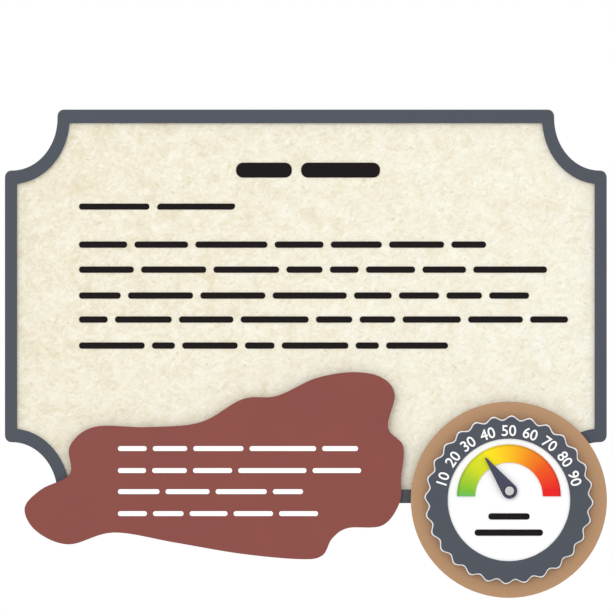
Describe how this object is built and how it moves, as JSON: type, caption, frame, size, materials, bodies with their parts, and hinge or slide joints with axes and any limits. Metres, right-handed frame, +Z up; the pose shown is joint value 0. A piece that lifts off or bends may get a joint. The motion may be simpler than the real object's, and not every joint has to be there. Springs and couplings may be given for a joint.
{
  "type": "wall-hung information sign with a status dial",
  "caption": "Framed information sign with notched corners, a hide-shaped plate and a round status dial with a turning pointer, hung on a wall cleat.",
  "frame": {"origin": "on the wall, at the middle of the back face of the hanging rail's lip", "axes": "+X to the viewer's right along the sign's width, +Y into the wall, +Z up; the face looks along -Y"},
  "size_m": [0.4573, 0.0379, 0.3709],
  "materials": {
    "frame_slate": "satin powder coat, dark slate grey",
    "face_parchment": "matte printed laminate, cream parchment with fine tan fibres",
    "board_wood": "clear-sealed exterior plywood",
    "hide_red": "satin painted plate, brown red",
    "badge_tan": "satin tan disc, darker towards the dial",
    "ring_slate": "satin slate grey",
    "dial_white": "satin white",
    "scale_print": "printed scale that runs green, yellow, orange and red",
    "pointer_slate": "satin slate violet",
    "pin_steel": "light grey turned head",
    "rail_aluminium": "extruded, brushed along its length",
    "screw_steel": "zinc-plated steel",
    "bumper_rubber": "matte black rubber",
    "spacer_black": "matte black moulded nylon",
    "marking_black": "satin black raised strip",
    "marking_white": "satin white raised strip and numerals"
  },
  "bodies": {
    "sign": {"backing_board": "board_wood", "face_panel": "face_parchment", "frame": "frame_slate", "hanging_rail": "rail_aluminium", "rail_screw_1": "screw_steel", "rail_screw_2": "screw_steel", "rail_screw_3": "screw_steel", "rail_screw_4": "screw_steel", "bumper_1": "bumper_rubber", "bumper_2": "bumper_rubber", "frame_screw_1": "screw_steel", "frame_screw_2": "screw_steel", "frame_screw_3": "screw_steel", "frame_screw_4": "screw_steel", "frame_screw_5": "screw_steel", "frame_screw_6": "screw_steel", "frame_screw_7": "screw_steel", "frame_screw_8": "screw_steel", "hide_plate": "hide_red", "hide_spacer_1": "spacer_black", "hide_screw_1": "screw_steel", "hide_spacer_2": "spacer_black", "hide_screw_2": "screw_steel", "hide_spacer_3": "spacer_black", "hide_screw_3": "screw_steel", "hide_spacer_4": "spacer_black", "hide_screw_4": "screw_steel", "badge_disc": "badge_tan", "badge_spacer_1": "spacer_black", "badge_screw_1": "screw_steel", "badge_spacer_2": "spacer_black", "badge_screw_2": "screw_steel", "badge_spacer_3": "spacer_black", "badge_screw_3": "screw_steel", "dial_plate": "dial_white", "dial_ring": "ring_slate", "scale_band": "scale_print", "pointer_pin": "pin_steel"},
    "pointer": {"pointer": "pointer_slate"}
  },
  "joints": [
    {"name": "pointer_turn", "type": "hinge", "parent": "sign", "child": "pointer", "pos_m": [0.1546, -0.0362, -0.2351], "axis": [0, 1, 0], "range_deg": [-54, 126]}
  ]
}
